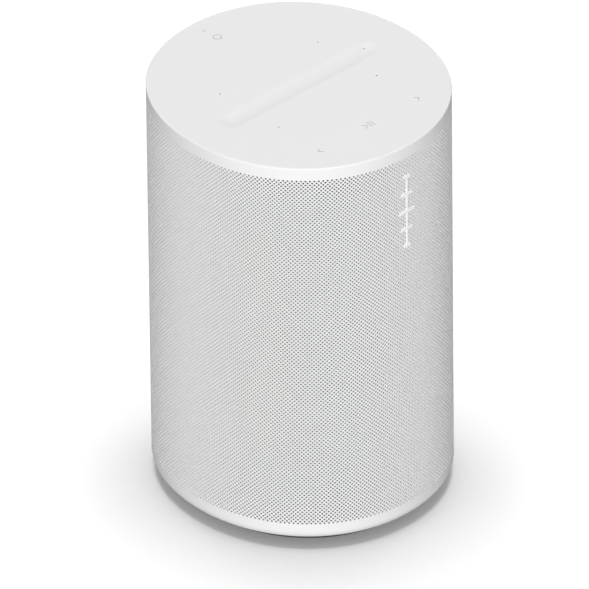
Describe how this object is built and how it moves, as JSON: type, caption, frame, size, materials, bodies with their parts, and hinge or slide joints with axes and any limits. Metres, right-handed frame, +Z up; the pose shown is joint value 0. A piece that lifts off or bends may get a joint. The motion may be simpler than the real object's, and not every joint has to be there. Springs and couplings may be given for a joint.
{
  "type": "smart speaker",
  "caption": "Oval tabletop smart speaker: perforated housing, flat touch top with a volume trough, rear control panel, woofer and angled tweeters inside.",
  "frame": {"origin": "on the surface the speaker stands on, under the middle of its foot", "axes": "+Z up, the front with the mark faces -Y, +X is to the right seen from the front"},
  "size_m": [0.12, 0.1268, 0.1865],
  "materials": {
    "shell": "fine satin white, moulded",
    "plate": "fine matt white",
    "dark_plastic": "moulded black",
    "grey_plastic": "moulded grey",
    "rubber": "matt silicone rubber",
    "liner": "black acoustic cloth",
    "mark": "satin white",
    "light_guide": "clear white light guide",
    "paper": "coated paper pulp",
    "textile": "impregnated cloth",
    "steel": "zinc plated",
    "aluminium": "extruded",
    "ferrite": "sintered ferrite",
    "copper": "enamelled copper wire",
    "brass": "turned brass",
    "circuit_board": "green solder mask"
  },
  "bodies": {
    "speaker": {"housing": "shell", "rear_panel": "shell", "top_plate": "plate", "cabinet_front": "dark_plastic", "cabinet_rear": "dark_plastic", "woofer_basket": "dark_plastic", "tweeter_pod_left": "dark_plastic", "tweeter_pod_right": "dark_plastic", "tweeter_body_left": "dark_plastic", "tweeter_body_right": "dark_plastic", "mains_inlet": "dark_plastic", "bulk_capacitor": "dark_plastic", "base_plate": "dark_plastic", "top_frame": "grey_plastic", "button_switch": "grey_plastic", "mic_switch_body": "grey_plastic", "flat_cable": "grey_plastic", "plate_seal": "rubber", "mic_boot_1": "rubber", "mic_boot_2": "rubber", "mic_boot_3": "rubber", "mic_boot_4": "rubber", "cabinet_gasket": "rubber", "woofer_surround": "rubber", "foot_ring": "rubber", "grille_liner": "liner", "front_mark": "mark", "status_light_guide": "light_guide", "woofer_spider": "textile", "woofer_top_plate": "steel", "woofer_yoke": "steel", "tweeter_magnet_left": "steel", "tweeter_magnet_right": "steel", "usb_c_socket": "steel", "woofer_screw_1": "steel", "woofer_screw_2": "steel", "woofer_screw_3": "steel", "woofer_screw_4": "steel", "base_screw_1": "steel", "base_screw_2": "steel", "base_screw_3": "steel", "base_screw_4": "steel", "heat_sink": "aluminium", "woofer_magnet": "ferrite", "transformer": "ferrite", "inlet_pin_1": "brass", "inlet_pin_2": "brass", "antenna_left": "brass", "antenna_right": "brass", "threaded_insert": "brass", "touch_board": "circuit_board", "main_board": "circuit_board", "power_board": "circuit_board"},
    "woofer_motion": {"woofer_cone": "paper", "woofer_dust_cap": "paper", "voice_coil": "copper"},
    "left_dome": {"tweeter_dome_left": "textile"},
    "right_dome": {"tweeter_dome_right": "textile"},
    "button": {"bluetooth_button": "shell"},
    "switch_slider": {"mic_switch_slider": "shell"}
  },
  "joints": [
    {"name": "woofer_travel", "type": "slide", "parent": "speaker", "child": "woofer_motion", "axis": [0, -1, 0], "range_m": [-0.004, 0.004], "stiffness_N_per_m": 1500, "deforming": ["woofer_surround", "woofer_spider"]},
    {"name": "left_dome_travel", "type": "slide", "parent": "speaker", "child": "left_dome", "axis": [-0.5, -0.866, 0], "range_m": [-0.0003, 0.0003], "stiffness_N_per_m": 3000},
    {"name": "right_dome_travel", "type": "slide", "parent": "speaker", "child": "right_dome", "axis": [0.5, -0.866, 0], "range_m": [-0.0003, 0.0003], "stiffness_N_per_m": 3000},
    {"name": "button_press", "type": "slide", "parent": "speaker", "child": "button", "axis": [0, -1, 0], "range_m": [0, 0.0006], "stiffness_N_per_m": 2500, "springref_m": -0.0002},
    {"name": "mic_switch_slide", "type": "slide", "parent": "speaker", "child": "switch_slider", "axis": [0, 0, -1], "range_m": [0, 0.003]}
  ]
}
